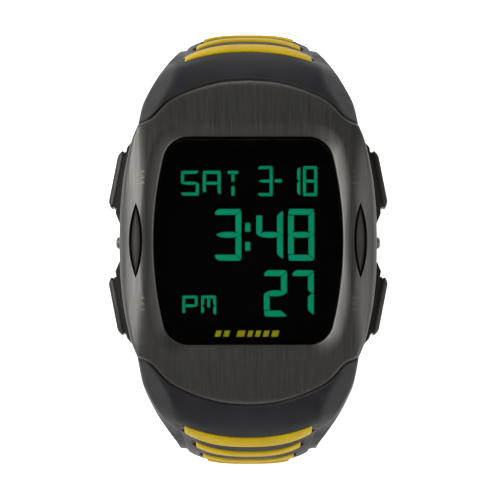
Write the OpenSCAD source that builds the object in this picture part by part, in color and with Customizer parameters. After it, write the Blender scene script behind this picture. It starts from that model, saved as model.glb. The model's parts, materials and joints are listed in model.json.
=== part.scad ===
// Digital water sports wristwatch: gunmetal bezel over a resin case, four side pushers,
// quartz module inside, and a moulded two-piece strap that hangs open in its own curve.
// Millimetres. The origin is the middle of the case back's outer face.
// +X points to 3 o'clock, +Y to 12 o'clock and +Z out through the display.

/* [Head] */
// Height of the bezel's crown above the case back
head_h = 12.4; // [12.4:0.05:12.6]
// Width of the bezel at its middle
bezel_w = 43; // [42.8:0.1:43.4]
// Length of the bezel from 6 to 12 o'clock
bezel_l = 54.4; // [54.2:0.1:54.8]
// Wall of the bezel shell
bezel_t = 1.6; // [1.5:0.05:1.7]

/* [Display] */
// Width of the display opening at its middle
window_w = 31.5; // [31:0.1:31.8]
// Height of the display opening
window_l = 34.7; // [34.3:0.1:34.9]

/* [Pushers] */
// Travel of a pusher
pusher_travel = 0.9; // [0.5:0.1:0.9]
// Turn of a pusher's axis away from X
pusher_turn = 11; // [10:0.5:12]

/* [Strap] */
// Width of the strap where it leaves the hood
strap_w = 20.6; // [20:0.1:20.8]
// Thickness of the strap
strap_t = 3; // [2.8:0.1:3.1]
// Outer radius of the buckle half's lower curve
buckle_curve = 30; // [29.5:0.5:31]
// Outer radius of the tail half's lower curve
tail_curve = 53; // [52:0.5:55]
// Holes for the tang
tail_holes = 9; // [5:1:9]

/* [Hidden] */
$fn = 64;
eps = 0.01;

// ---- Side profile shared by the bezel and the strap, in Y and Z ----
crown_r = 220;
shoulder_y = 17;
shoulder_a = asin(shoulder_y / crown_r);
shoulder_r = 21.3;
shoulder_c = [
    shoulder_y - shoulder_r * sin(shoulder_a),
    head_h - crown_r * (1 - cos(shoulder_a)) - shoulder_r * cos(shoulder_a)
];
horizon_y = shoulder_c[0] + shoulder_r;
horizon_z = shoulder_c[1];

// ---- Levels above the case back ----
case_z = [0.3, 8.9];
back_t = 1;
bezel_skirt_z = 7.9;
display_window = [24.6, 25.6];
lens_z = [9.15, 9.95, 10.95];
lcd_z = [6.8, 8.1];
board_z = [4.5, 5.3];
frame_z = [1.9, 6.8];
battery_z = [2.1, 3.7];
pusher_z = 4.7;

// ---- Plan sizes ----
end_r = 24.9;
side_r = 66;
window_side_r = 60;
window_corner_r = 4.2;
case_end = 18.9;
cavity = [13.9, 14.9];
cavity_r = 4;
back_half = [17, 18];
back_r = 5;
back_screw = [14.7, 15.7];
insert_x = 18.7;

// ---- Pushers: the origin of each is the middle of its outer face ----
pusher_face = [22.6, 10.75, pusher_z];
cap_t = 1.6;
cap_half = [4.85, 2.3];
pocket_depth = cap_t + pusher_travel + 0.1;
spring_well = 5;
stem_r = 1.1;
stem_end = 10.2;
clip_at = 9.4;
contact_at = 11.4;
clip_t = 0.3;
seal_at = 6.5;
seal_r = 0.2;
groove_r = 0.75;

// ---- Strap pivots and width ----
pin = [21.4, 3.6];
bar_r = 0.9;
swing_r = 5;
tip_r = 0.5;
lug_x = [10.7, 13.7];
lug_r = 2.4;
hood_back = 19.4;
hood_inner_r = 11.1;
neck_half = 11.8;
neck_drop = 6;
strap_tip_w = 18.6;
buckle_pin_r = 0.75;
buckle_a = 75;
tail_a = 100;

// ---- Stripes along the strap: distance past the bezel's end, width and half length ----
stripes = [[9.5, 3.3, 10.9], [13.9, 2.2, 8.8], [18.2, 2.1, 7.7], [22.4, 2, 7]];
stripe_sweep_r = 23;
stripe_depth = 0.7;
stripe_proud = 0.35;

fit = 0.05;

// ================= Helpers =================

// Points on an arc from angle a0 to a1
function arc(c, r, a0, a1, n) = [for (i = [0:n]) let (a = a0 + (a1 - a0) * i / n) c + r * [cos(a), sin(a)]];

// A quarter outline, from the +Y axis to the +X axis, repeated round all four quarters
function four_ways(q) = concat(
    q,
    [for (i = [len(q) - 1:-1:0]) [q[i][0], -q[i][1]]],
    [for (p = q) [-p[0], -p[1]]],
    [for (i = [len(q) - 1:-1:0]) [-q[i][0], q[i][1]]]
);

// Rectangle with round corners, from its half sizes
function round_box(half, r) = four_ways(arc(half - [r, r], r, 90, 0, 8));

// Barrel with bowed sides and round corners, grown by g
function barrel(g) =
    let (
        half = [window_w / 2 + g, window_l / 2 + g],
        big = window_side_r + g,
        r = window_corner_r + g,
        middle = half[0] - big,
        reach = big - r,
        cy = half[1] - r,
        cx = middle + sqrt(reach * reach - cy * cy),
        meet = asin(cy / reach)
    )
    four_ways(concat(arc([cx, cy], r, 90, meet, 8), arc([middle, 0], big, meet * 0.8, meet * 0.2, 3)));

// Height above a point in Y of the outer profile sunk by d, from the shoulder outwards
function shoulder_z(y, d = 0) = shoulder_c[1] + sqrt(pow(shoulder_r - d, 2) - pow(y - shoulder_c[0], 2));

// Angle from Z on the shoulder arc at a distance along the strap past the bezel's end
function along_strap(s) = asin((bezel_l / 2 - shoulder_c[0]) / shoulder_r) + s / shoulder_r * 180 / PI;

// Extrudes a Y and Z outline along X, or an X and Z outline along Y
module across(w) rotate([90, 0, 90]) linear_extrude(w, center = true) children();
module lengthwise(l) rotate([90, 0, 0]) linear_extrude(l, center = true) children();

// Cylinder along X, centred
module rod(r, l) rotate([0, 90, 0]) cylinder(r = r, h = l, center = true);

module on_four_corners(p) for (sx = [-1, 1], sy = [-1, 1]) translate([sx * p[0], sy * p[1], 0]) children();

// Upper half drawn at +Y and mirrored for the lower half
module half(lower) mirror([0, lower ? 1 : 0, 0]) children();

// ================= Bezel =================

module bezel_plan(inset) intersection() {
    union() for (s = [-1, 1])
        translate([0, s * (bezel_l / 2 - end_r)]) circle(r = end_r - inset, $fn = 200);
    intersection_for (s = [-1, 1])
        translate([s * (bezel_w / 2 - side_r), 0]) circle(r = side_r - inset, $fn = 360);
}

// Right half of the lengthwise crown, lowered by d, out to a Y past the bezel's end
function crown_half(d, reach) = concat(
    arc([0, head_h - crown_r], crown_r - d, 90, 90 - shoulder_a * 0.9, 4),
    arc(shoulder_c, shoulder_r - d, 90 - shoulder_a, 90 - asin((reach - shoulder_c[0]) / (shoulder_r - d)), 10)
);
function crown_line(d, reach) =
    let (q = crown_half(d, reach))
    concat([for (i = [len(q) - 1:-1:1]) [-q[i][0], q[i][1]]], q);

// Solid under the crown, lowered by d, down to the level floor_z
module under_crown(d, floor_z, reach = 28) across(60)
    polygon(concat([[-reach, floor_z]], crown_line(d, reach), [[reach, floor_z]]));

module side_crown(d) lengthwise(70) {
    flat_half = window_w / 2;
    roll_r = 8;
    roll = arc([flat_half, head_h - roll_r], roll_r - d, 90, 40, 6);
    polygon(concat(
        [[-bezel_w, 0], [-bezel_w, roll[6][1]]],
        [for (i = [6:-1:0]) [-roll[i][0], roll[i][1]]],
        roll,
        [[bezel_w, roll[6][1]], [bezel_w, 0]]
    ));
}

module bezel_block(d, floor_z) intersection() {
    linear_extrude(20) bezel_plan(d);
    under_crown(d, floor_z);
    side_crown(d);
}

// Pointed oval, from its half length and half width
module vesica(half_l, half_w, h) {
    r = (half_l * half_l + half_w * half_w) / (2 * half_w);
    linear_extrude(h) intersection() {
        translate([r - half_w, 0]) circle(r = r, $fn = 360);
        translate([half_w - r, 0]) circle(r = r, $fn = 360);
    }
}

bezel_tab = [0.8, 4.4, 4];

module bezel() color("dimgray") difference() {
    union() {
        difference() {
            bezel_block(0, bezel_skirt_z);
            bezel_block(bezel_t, 0);
            for (s = [-1, 1]) translate([0, s * (case_end + 10), 0])
                cube([60, 20, 2 * (head_h - bezel_t - 1.6)], center = true);
        }
        // Plate of even thickness over each strap hood
        for (s = [-1, 1]) intersection() {
            difference() {
                bezel_block(0, 5);
                under_crown(bezel_t, 0, 28.5);
            }
            translate([0, s * (case_end + 10), 0]) cube([60, 20, 40], center = true);
        }
        for (s = [-1, 1]) translate([s * (bezel_w / 2 - bezel_tab[0] / 2), 0, bezel_skirt_z - 1.8])
            cube(bezel_tab, center = true);
    }
    linear_extrude(20) polygon(barrel(0));
    for (s = [-1, 1]) translate([s * insert_x, 0, 0]) vesica(6.15, 1.05, 20);
    translate([0, 0, bezel_screw_z]) rod(0.6, 60);
}

module bezel_insert(side) color("darkslategray") translate([side * insert_x, 0, case_z[1]])
    vesica(6, 0.85, 2.6);

bezel_screw_z = 5.6;
module bezel_screws() color("silver") for (s = [-1, 1]) translate([s * bezel_w / 2, 0, bezel_screw_z])
    mirror([s < 0 ? 1 : 0, 0, 0]) {
        rotate([0, 90, 0]) cylinder(r = 1, h = 0.3);
        translate([0.3, 0, 0]) rotate([0, 90, 0]) cylinder(r1 = 1, r2 = 0.6, h = 0.25);
        rotate([0, -90, 0]) cylinder(r = 0.5, h = 3.2);
    }

// ================= Case =================

module at_pusher(sx, sy) mirror([sx < 0 ? 1 : 0, 0, 0]) mirror([0, sy < 0 ? 1 : 0, 0])
    translate(pusher_face) rotate([0, 0, pusher_turn]) children();

module at_pushers() for (sx = [-1, 1], sy = [-1, 1]) at_pusher(sx, sy) children();

// Plan of one flank, which carries the pushers of that side
flank = [[12, 18.8], [17.9, 18.8], [20.3, 15.9], [22.2, 4.9], [21.6, 3.4], [20.6, 2.7], [12, 2.7]];

module case_body() color("black") difference() {
    union() {
        translate([0, 0, case_z[0]]) linear_extrude(case_z[1] - case_z[0]) intersection() {
            bezel_plan(bezel_t + 0.2);
            square([60, 2 * case_end], center = true);
        }
        for (sx = [-1, 1], sy = [-1, 1]) mirror([sx < 0 ? 1 : 0, 0, 0]) mirror([0, sy < 0 ? 1 : 0, 0])
            translate([0, 0, 1.4]) linear_extrude(bezel_skirt_z - 1.6) polygon(flank);
        translate([0, 0, 4.5]) cube([41.2, 5.6, 6.2], center = true);
        for (s = [-1, 1]) half(s < 0) lugs();
    }
    translate([0, 0, back_t]) linear_extrude(7.1) polygon(round_box(cavity, cavity_r));
    translate([0, 0, back_t]) linear_extrude(10) polygon(round_box(cavity - [1.2, 1.2], cavity_r - 1));
    translate([0, 0, -1]) linear_extrude(1 + back_t) polygon(round_box(back_half + [0.1, 0.1], back_r));
    translate([0, 0, back_t - eps]) gasket_ring(0.4, 0.62);
    on_four_corners(back_screw) cylinder(r = 0.55, h = 3.4);
    at_pushers() pusher_bore();
    translate([0, 0, bezel_screw_z]) rod(0.55, 36.1);
    translate([0, 0, bezel_screw_z]) difference() {
        rod(0.55, 60);
        rod(1, 36);
    }
}

// The two lugs at 12 o'clock, with blind holes for the spring bar's tips
module lugs() difference() {
    for (s = [-1, 1]) translate([s * (lug_x[0] + lug_x[1]) / 2, 0, 0]) {
        across(lug_x[1] - lug_x[0]) polygon([
            [case_end - 0.5, pin[1] - lug_r], [pin[0], pin[1] - lug_r],
            [pin[0], pin[1] + lug_r], [case_end - 0.5, pin[1] + lug_r]
        ]);
        translate([0, pin[0], pin[1]]) rod(lug_r, lug_x[1] - lug_x[0]);
    }
    translate([0, pin[0], pin[1]]) rod(tip_r + fit, 2 * 12.4);
}

module pusher_bore() {
    translate([-pocket_depth, -cap_half[0] - 0.15, -cap_half[1] - 0.15])
        cube([pocket_depth + 3, 2 * cap_half[0] + 0.3, 2 * cap_half[1] + 0.3]);
    translate([-spring_well, 0, 0]) rotate([0, 90, 0]) cylinder(r = 1.9, h = spring_well);
    rotate([0, -90, 0]) cylinder(r = stem_r + fit, h = 11);
}

// ================= Pushers =================

module pusher(sx, sy) color("dimgray") at_pusher(sx, sy) difference() {
    union() {
        linear_extrude(2 * cap_half[1], center = true) polygon([
            [-cap_t, -cap_half[0]], [-0.5, -cap_half[0]], [0, -4],
            [0, 4], [-0.5, cap_half[0]], [-cap_t, cap_half[0]]
        ]);
        rotate([0, -90, 0]) cylinder(r = stem_r, h = stem_end);
    }
    translate([-seal_at - 0.25, 0, 0]) neck(0.5);
    translate([-clip_at - clip_t, 0, 0]) neck(clip_t);
}

// Groove round the stem
module neck(w) rotate([0, 90, 0]) difference() {
    cylinder(r = stem_r + 1, h = w);
    translate([0, 0, -1]) cylinder(r = groove_r, h = w + 2);
}

module pusher_seal(sx, sy) color("black") at_pusher(sx, sy) translate([-seal_at, 0, 0]) rotate([0, 90, 0])
    rotate_extrude() translate([groove_r + seal_r - 0.01, 0]) circle(r = seal_r - 0.01);

module pusher_clip(sx, sy) color("silver") at_pusher(sx, sy) translate([-clip_at - clip_t + 0.02, 0, 0])
    rotate([0, 90, 0]) difference() {
        cylinder(r = 1.8, h = clip_t - 0.04);
        translate([0, 0, -1]) cylinder(r = groove_r + 0.02, h = 3);
        translate([-0.55, 0, -1]) cube([1.1, 4, 3]);
    }

spring_turns = 4;
spring_mean_r = 1.5;
spring_wire_r = 0.17;
spring_ends = [-spring_well + 0.2, -cap_t - 0.2];

// A coil of round wire along X, as one swept tube
module coil_spring(sides = 6, steps = 60) {
    run = spring_ends[1] - spring_ends[0];
    lean = atan(run / spring_turns / (2 * PI * spring_mean_r));
    rings = [for (i = [0:steps]) let (a = 360 * spring_turns * i / steps) [for (k = [0:sides - 1]) let (
        b = 360 * k / sides,
        out = spring_mean_r + spring_wire_r * cos(b),
        up = spring_wire_r * sin(b)
    ) [
        spring_ends[0] + run * i / steps + up * cos(lean),
        out * cos(a) + up * sin(lean) * sin(a),
        out * sin(a) - up * sin(lean) * cos(a)
    ]]];
    polyhedron(
        points = [for (r = rings) each r],
        faces = concat(
            [[for (k = [0:sides - 1]) k]],
            [for (i = [0:steps - 1], k = [0:sides - 1])
                let (a = i * sides + k, b = i * sides + (k + 1) % sides)
                each [[a, a + sides, b], [b, a + sides, b + sides]]],
            [[for (k = [sides - 1:-1:0]) steps * sides + k]]
        )
    );
}

module pusher_spring(sx, sy) color("silver") at_pusher(sx, sy) coil_spring();

// ================= Display =================

module lens() color("black", 0.5) {
    translate([0, 0, lens_z[0]]) linear_extrude(lens_z[1] - lens_z[0]) polygon(barrel(0.8));
    translate([0, 0, lens_z[1] - eps]) linear_extrude(lens_z[2] - lens_z[1]) polygon(barrel(-0.12));
}

module lens_gasket() color("black") translate([0, 0, case_z[1]]) linear_extrude(lens_z[0] - case_z[1])
    difference() {
        polygon(barrel(0.7));
        polygon(barrel(-0.3));
    }

module display_mask() color("black") translate([0, 0, case_z[1]]) linear_extrude(0.15) difference() {
    polygon(barrel(-0.4));
    square(display_window, center = true);
}

module lcd_panel() color("darkgreen") translate([0, 0, lcd_z[0]]) {
    linear_extrude(0.65) square([25, 27.4], center = true);
    translate([0, 0, 0.65]) linear_extrude(lcd_z[1] - lcd_z[0] - 0.65) square([25, 25.8], center = true);
}

module backlight_panel() color("white") translate([-10.5, -12.4, lcd_z[0] - 0.3]) cube([21, 24.8, 0.28]);

// ================= Module =================

module zebra_strips() color("gray") for (s = [-1, 1])
    translate([0, s * 13.6, (board_z[1] + lcd_z[0]) / 2]) cube([21, 1, lcd_z[0] - board_z[1]], center = true);

module module_frame() color("ivory") difference() {
    translate([0, 0, frame_z[0]]) linear_extrude(frame_z[1] - frame_z[0])
        polygon(round_box(cavity - [0.2, 0.2], 3.8));
    translate([0, 0, board_z[0]]) linear_extrude(5) square([21.8, 28.4], center = true);
    translate([0, battery_y, 0]) cylinder(r = 10.15, h = battery_z[1] + 0.05);
    translate([-3, -3 + battery_y, 3]) cube([6, 6, 3]);
    translate([-3.2, 9.6, 2.9]) cube([6.4, 1.8, 3]);
    translate([-1.9, -14, 0]) cube([3.8, 24, battery_z[0]]);
    at_pushers() {
        translate([-contact_at - 0.12, 0, 0]) rotate([0, 90, 0]) cylinder(r = 1.6, h = 6);
        translate([-clip_at - clip_t - pusher_travel - 0.3, 0, 0]) rotate([0, 90, 0]) cylinder(r = 2, h = 6);
    }
}

battery_y = -1.6;
module circuit_board() color("green") translate([0, 0, board_z[0]]) linear_extrude(board_z[1] - board_z[0])
    square([21.4, 28.2], center = true);
module controller_chip() color("black") translate([-2.5, battery_y - 2.5, board_z[0] - 0.6]) cube([5, 5, 0.6]);
module quartz_crystal() color("silver") translate([0, 10.5, board_z[0] - 0.76]) rod(0.75, 6);
module switch_contacts() color("gold") at_pushers() translate([-contact_at, 0, 0]) rod(1.2, 0.2);
module battery() color("silver") translate([0, battery_y, battery_z[0]]) {
    cylinder(r = 10, h = 1.2);
    cylinder(r = 9.2, h = battery_z[1] - battery_z[0]);
}
module battery_clip() color("lightgray") translate([0, battery_y, battery_z[0] - 0.2]) {
    translate([-1.75, -12, 0]) cube([3.5, 23, 0.18]);
    cylinder(r = 2.6, h = 0.18);
}
module buzzer_disc() color("goldenrod") translate([0, 0, back_t]) {
    cylinder(r = 7, h = 0.15);
    cylinder(r = 4.5, h = 0.3);
}

// ================= Case back =================

module gasket_ring(w, h) linear_extrude(h) difference() {
    polygon(round_box([14.6, 15.6] + [w, w], 4.2 + w));
    polygon(round_box([14.6, 15.6] - [w, w], 4.2 - w));
}

module case_back_gasket() color("black") translate([0, 0, back_t]) gasket_ring(0.36, 0.58);

module case_back() color("silver") difference() {
    linear_extrude(back_t) polygon(round_box(back_half, back_r));
    on_four_corners(back_screw) {
        translate([0, 0, -1]) cylinder(r = 0.6, h = 4);
        translate([0, 0, -1]) cylinder(r = 1, h = 1.5);
    }
}

module case_back_screws() color("gray") on_four_corners(back_screw) difference() {
    union() {
        translate([0, 0, 0.08]) cylinder(r = 0.95, h = 0.42);
        cylinder(r = 0.5, h = 3.2);
    }
    for (turn = [0, 90]) rotate([0, 0, turn]) cube([1.3, 0.28, 0.5], center = true);
    translate([0, 0, -1]) cylinder(r = 0.3, h = 1.2);
}

// ================= Strap =================

// Side profile of one half: hood, lower curve of outer radius r to the angle a, and back along the inside
function strap_side(r, a) =
    let (low = [horizon_y - r, horizon_z], hood_in = [horizon_y - strap_t - hood_inner_r, horizon_z])
    concat(
        arc(shoulder_c, shoulder_r, 90 - asin((hood_back - shoulder_c[0]) / shoulder_r), 3, 18),
        arc(low, r, 0, -a, 24),
        arc(low, r - strap_t, -a, 0, 24),
        arc(hood_in, hood_inner_r, 7, 90, 12),
        [[pin[0] - 0.8, horizon_z + hood_inner_r], [hood_back, pin[1]]]
    );

// Plan of the hood, which narrows from the bezel's corner to the strap
function hood_plan() = let (
    right = [[18.6, 18.5], [18.4, 20.5], [17.8, 23], [16.9, 25.3], [15.2, 28.5], [13.1, 31.5], [11.8, 33.2],
        [strap_w / 2 + 0.3, 35.4], [strap_w / 2, horizon_y + 1]]
) concat(right, [for (i = [len(right) - 1:-1:0]) [-right[i][0], right[i][1]]]);

// The wedge that the hood's side facet takes off
module hood_facet() for (s = [0, 1]) mirror([s, 0, 0]) translate([14.4, 23.5, shoulder_z(23.5)])
    rotate([0, 55.1, 46.3]) translate([-20, -20, 0]) cube([40, 40, 20]);

// Room for a strap half: the hood's plan above blend_z, the tip's plan below it, and an even
// taper in width from the horizon down
module strap_limits(r, tip_y) {
    deep = r + 2;
    blend_z = horizon_z - neck_drop;
    taper = [
        [20, 30], [20, horizon_z], [neck_half, horizon_z],
        [strap_w / 2, blend_z], [strap_tip_w / 2, horizon_z - deep]
    ];
    intersection() {
        lengthwise(120) polygon(concat(taper, [for (i = [len(taper) - 1:-1:0]) [-taper[i][0], taper[i][1]]]));
        union() {
            translate([0, 0, blend_z]) linear_extrude(50) polygon(hood_plan());
            translate([0, 0, horizon_z - deep]) linear_extrude(deep - neck_drop + eps) strap_tip(tip_y);
        }
    }
}

// Plan below the hood, with a round end at tip_y
module strap_tip(tip_y) {
    translate([-12, tip_y + strap_tip_w / 2]) square([24, horizon_y - tip_y]);
    translate([0, tip_y + strap_tip_w / 2]) circle(r = strap_tip_w / 2 + 0.5);
}

// Room for the bezel's end plate over the hood, which turns about the pin under it
module bezel_room() intersection() {
    linear_extrude(20) bezel_plan(-0.15);
    across(60) polygon(concat(
        [[15, 20], [15, pin[1]]],
        arc(pin, swing_r, 180, 67, 12),
        [for (y = [24:0.5:30]) [y, shoulder_z(y, bezel_t + 0.2)]],
        [[30, 20]]
    ));
}

module lug_room() for (s = [-1, 1]) translate([s * (lug_x[0] + lug_x[1]) / 2, 0, 0]) {
    translate([0, pin[0], pin[1]]) rod(lug_r + 0.35, lug_x[1] - lug_x[0] + 0.4);
    translate([0, pin[0] - 3, pin[1]])
        cube([lug_x[1] - lug_x[0] + 0.4, 6, 2 * lug_r + 0.7], center = true);
}

// One half of the strap with its seats for the case, the bar and the stripes
module strap_body(r, a, tip_y) difference() {
    intersection() {
        across(40) polygon(strap_side(r, a));
        strap_limits(r, tip_y);
    }
    hood_facet();
    bezel_room();
    lug_room();
    translate([0, pin[0], pin[1]]) rod(bar_r + fit, 30);
    for (k = stripes) stripe(k, 0);
}

// A curved stripe set in the strap, slimmer by gap
module stripe(k, gap) {
    a = along_strap(k[0]);
    tip = k[2] - gap;
    half_w = k[1] / 2 - gap;
    mid_z = shoulder_c[1] + shoulder_r * cos(a);
    xs = [for (i = [-8:8]) tip * i / 8];
    function sweep(x) = mid_z + x * x / (2 * stripe_sweep_r) * sin(a);
    intersection() {
        across(30) polygon(concat(
            arc(shoulder_c, shoulder_r + stripe_proud, 62, -14, 19),
            arc(shoulder_c, shoulder_r - stripe_depth + gap, -14, 62, 19)
        ));
        translate([0, 30, 0]) lengthwise(30) polygon(concat(
            [for (x = xs) [x, sweep(x) + half_w * sin(a)]],
            [for (i = [16:-1:0]) [xs[i], sweep(xs[i]) - half_w * sin(a)]]
        ));
    }
}

buckle_low = [horizon_y - buckle_curve, horizon_z];
buckle_at = buckle_low + (buckle_curve - strap_t / 2) * [cos(buckle_a), -sin(buckle_a)];
buckle_knuckle_r = 2;

// Local frame at the buckle's pivot: +Y on along the strap, +Z away from the wrist
module at_buckle() translate([0, buckle_at[0], buckle_at[1]]) rotate([270 - buckle_a, 0, 0]) children();

module strap_buckle_half() color("darkslategray") difference() {
    union() {
        strap_body(buckle_curve, buckle_a, -40);
        at_buckle() rod(buckle_knuckle_r, strap_tip_w + 0.2);
    }
    at_buckle() {
        rod(buckle_pin_r + fit, 40);
        translate([0, -1, 0]) cube([3.4, 7.4, 8], center = true);
    }
}

tail_low = [horizon_y - tail_curve, horizon_z];
tail_tip_y = tail_low[0] + (tail_curve - strap_t) * cos(tail_a) - 0.5;
hole_pitch = 5.6;
hole_r = 1.15;

module strap_tail_half() color("darkslategray") half(true) difference() {
    strap_body(tail_curve, tail_a, tail_tip_y);
    for (i = [0:tail_holes - 1]) let (a = tail_a - 16 - i * hole_pitch / tail_curve * 180 / PI)
        translate([0, tail_low[0], tail_low[1]]) rotate([-90 - a, 0, 0])
            cylinder(r = hole_r, h = tail_curve + 5);
}

module stripes_half(lower) color("gold") half(lower) for (k = stripes) stripe(k, 0.03);

module spring_bar(lower) color("silver") half(lower) translate([0, pin[0], pin[1]]) {
    rod(bar_r, 2 * (lug_x[0] - 0.15));
    rod(tip_r, 2 * 12.3);
}

keeper_a = [33, 43];
keeper_gap = 0.3;
keeper_half = 10.5;
keeper_t = 1.6;
module keeper_loop() color("darkslategray") translate([0, buckle_low[0], buckle_low[1]]) {
    inner = [buckle_curve - strap_t - keeper_gap, buckle_curve + strap_t + 2 * keeper_gap];
    rotate([0, 0, 90]) rotate([90, 0, 0]) rotate([0, 0, -keeper_a[1]])
        rotate_extrude(angle = keeper_a[1] - keeper_a[0], $fn = 120) difference() {
            translate([inner[0] - keeper_t, -keeper_half - keeper_t])
                square([inner[1] - inner[0] + 2 * keeper_t, 2 * (keeper_half + keeper_t)]);
            translate([inner[0], -keeper_half]) square([inner[1] - inner[0], 2 * keeper_half]);
        }
}

// ================= Buckle =================

frame_half = [9.6, 11.7];
frame_reach = 12.5;
prong_rest = 1.15;

module buckle_bar() color("silver") at_buckle() rod(buckle_pin_r, 2 * frame_half[1] - 0.4);

module buckle_frame() color("dimgray") at_buckle() difference() {
    union() {
        for (s = [-1, 1]) translate([s * (frame_half[0] + frame_half[1]) / 2, 0, 0]) {
            rod(2, frame_half[1] - frame_half[0]);
            translate([0, frame_reach / 2, 0])
                cube([frame_half[1] - frame_half[0], frame_reach, 2], center = true);
        }
        translate([0, frame_reach, 0]) rod(prong_rest, 2 * frame_half[1]);
    }
    rod(buckle_pin_r + 0.01, 40);
}

module buckle_tang() color("silver") at_buckle() difference() {
    union() {
        rod(1.45, 2.9);
        across(2.3) polygon([
            [0, -1.2], [2.2, -0.5], [10.9, prong_rest + fit], [13.6, prong_rest + fit],
            [13.9, 1.6], [13.5, 2.3], [10.9, 2.4], [0, 1.4]
        ]);
    }
    rod(buckle_pin_r + fit, 10);
}

// ================= Nodes =================

corners = [["upper_right", 1, 1], ["lower_right", 1, -1], ["upper_left", -1, 1], ["lower_left", -1, -1]];

case_body();
bezel();
bezel_insert(-1);  // bezel_insert_left
bezel_insert(1);  // bezel_insert_right
bezel_screws();
lens();
lens_gasket();
display_mask();
lcd_panel();
backlight_panel();
zebra_strips();
module_frame();
circuit_board();
controller_chip();
quartz_crystal();
switch_contacts();
battery();
battery_clip();
buzzer_disc();
case_back();
case_back_gasket();
case_back_screws();
for (c = corners) {
    pusher(c[1], c[2]);
    pusher_seal(c[1], c[2]);
    pusher_clip(c[1], c[2]);
    pusher_spring(c[1], c[2]);
}
spring_bar(false);  // spring_bar_upper
spring_bar(true);  // spring_bar_lower
strap_buckle_half();
strap_tail_half();
stripes_half(false);  // stripes_buckle_half
stripes_half(true);  // stripes_tail_half
keeper_loop();
buckle_bar();
buckle_frame();
buckle_tang();
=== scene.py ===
import json
import math

import bmesh
import bpy
import numpy as np
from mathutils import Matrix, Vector

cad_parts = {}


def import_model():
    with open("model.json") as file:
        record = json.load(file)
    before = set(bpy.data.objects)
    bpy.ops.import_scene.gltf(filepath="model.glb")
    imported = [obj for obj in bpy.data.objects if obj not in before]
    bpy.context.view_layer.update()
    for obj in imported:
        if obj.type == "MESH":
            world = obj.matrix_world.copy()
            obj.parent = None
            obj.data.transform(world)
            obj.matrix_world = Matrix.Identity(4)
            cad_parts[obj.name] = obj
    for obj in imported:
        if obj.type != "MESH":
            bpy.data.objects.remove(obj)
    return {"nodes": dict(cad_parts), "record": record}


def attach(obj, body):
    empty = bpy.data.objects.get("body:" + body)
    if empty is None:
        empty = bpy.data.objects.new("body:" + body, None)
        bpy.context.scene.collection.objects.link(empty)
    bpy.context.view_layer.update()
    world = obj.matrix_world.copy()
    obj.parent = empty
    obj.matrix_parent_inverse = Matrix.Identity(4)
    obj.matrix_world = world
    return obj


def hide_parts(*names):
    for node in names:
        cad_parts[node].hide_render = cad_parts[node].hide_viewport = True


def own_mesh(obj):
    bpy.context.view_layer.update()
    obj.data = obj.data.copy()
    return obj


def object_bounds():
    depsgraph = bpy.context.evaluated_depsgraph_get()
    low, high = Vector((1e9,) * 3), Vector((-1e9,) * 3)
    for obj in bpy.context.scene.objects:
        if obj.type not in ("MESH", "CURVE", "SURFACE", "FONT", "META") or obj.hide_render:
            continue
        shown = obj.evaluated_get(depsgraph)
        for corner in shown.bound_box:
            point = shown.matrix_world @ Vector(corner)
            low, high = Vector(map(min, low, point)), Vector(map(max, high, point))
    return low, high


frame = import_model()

MM = 0.001
CAD_BOX = [list(v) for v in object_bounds()]
NODES = frame["nodes"]
CORNERS = [("upper_right", 1, 1), ("lower_right", 1, -1), ("upper_left", -1, 1), ("lower_left", -1, -1)]

# ---- Shape of the watch, in millimetres ----

HEAD_H = 12.4
CROWN_R = 220.0
SHOULDER_Y = 17.0
SHOULDER_R = 21.3
SHOULDER_A = math.asin(SHOULDER_Y / CROWN_R)
SHOULDER_C = (
    SHOULDER_Y - SHOULDER_R * math.sin(SHOULDER_A),
    HEAD_H - CROWN_R * (1 - math.cos(SHOULDER_A)) - SHOULDER_R * math.cos(SHOULDER_A),
)
HORIZON = (SHOULDER_C[0] + SHOULDER_R, SHOULDER_C[1])
BEZEL_END = 27.2
BEZEL_T = 1.6
ROLL_X, ROLL_R = 15.75, 8.0
CASE_END = 18.9
LENS_Z = (9.15, 9.95, 10.95)
PIN = (21.4, 3.6)
STRAP_T = 3.0
STRAP_HALF = 10.3
TIP_HALF = 9.3
WINDOW_HALF, WINDOW_SIDE_R, WINDOW_CORNER_R = (15.75, 17.35), 60.0, 4.2
INSERT_X = 18.7
INSERT_HALF = (6.0, 0.85)
SLOT_HALF = (6.15, 1.05)
TICK_AT, TICK_PITCH, TICK_HALF = (17.9, 9.6), 0.95, (0.62, 0.1)
SCREW_X, SCREW_Z = 21.5, 5.6
TAB_Z, TAB_HALF = 6.4, 2.2
MASK_OPENING = (12.3, 12.8, 0.95)
MASK_Z = (8.9, 9.05)
SEGMENT_Z = 8.12
BACK_HALF, BACK_CORNER_R = (17.0, 18.0), 5.0
BACK_SCREW = (14.7, 15.7)
PUSHER_FACE = (22.6, 10.75, 4.7)
PUSHER_TURN = math.radians(11)

BEZEL_END_ARC = [(0, 27.2), (3.85, 26.93), (6.6, 26.33), (9.3, 25.45), (11.7, 24.4), (13.5, 23.3),
                 (14.8, 22.0), (15.7, 20.95), (16.8, 20.05), (18.45, 19.3)]
BEZEL_SIDE = [(18.45, 19.3), (19.4, 16.9), (20.3, 13.2), (20.95, 9.5), (21.35, 5.2), (21.5, 0)]
HOOD_PLAN = [(18.45, 19.3), (17.8, 23), (16.9, 25.3), (15.2, 28.5), (13.1, 31.5), (11.8, 33.2),
             (10.65, 35.4), (10.3, 36.66)]
# Distance past the bezel's end, width and half length of each stripe
STRIPES = [(9.15, 2.7, 10.7), (13.6, 1.7, 8.8), (17.9, 1.8, 7.7), (22.2, 1.8, 7.0)]


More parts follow.
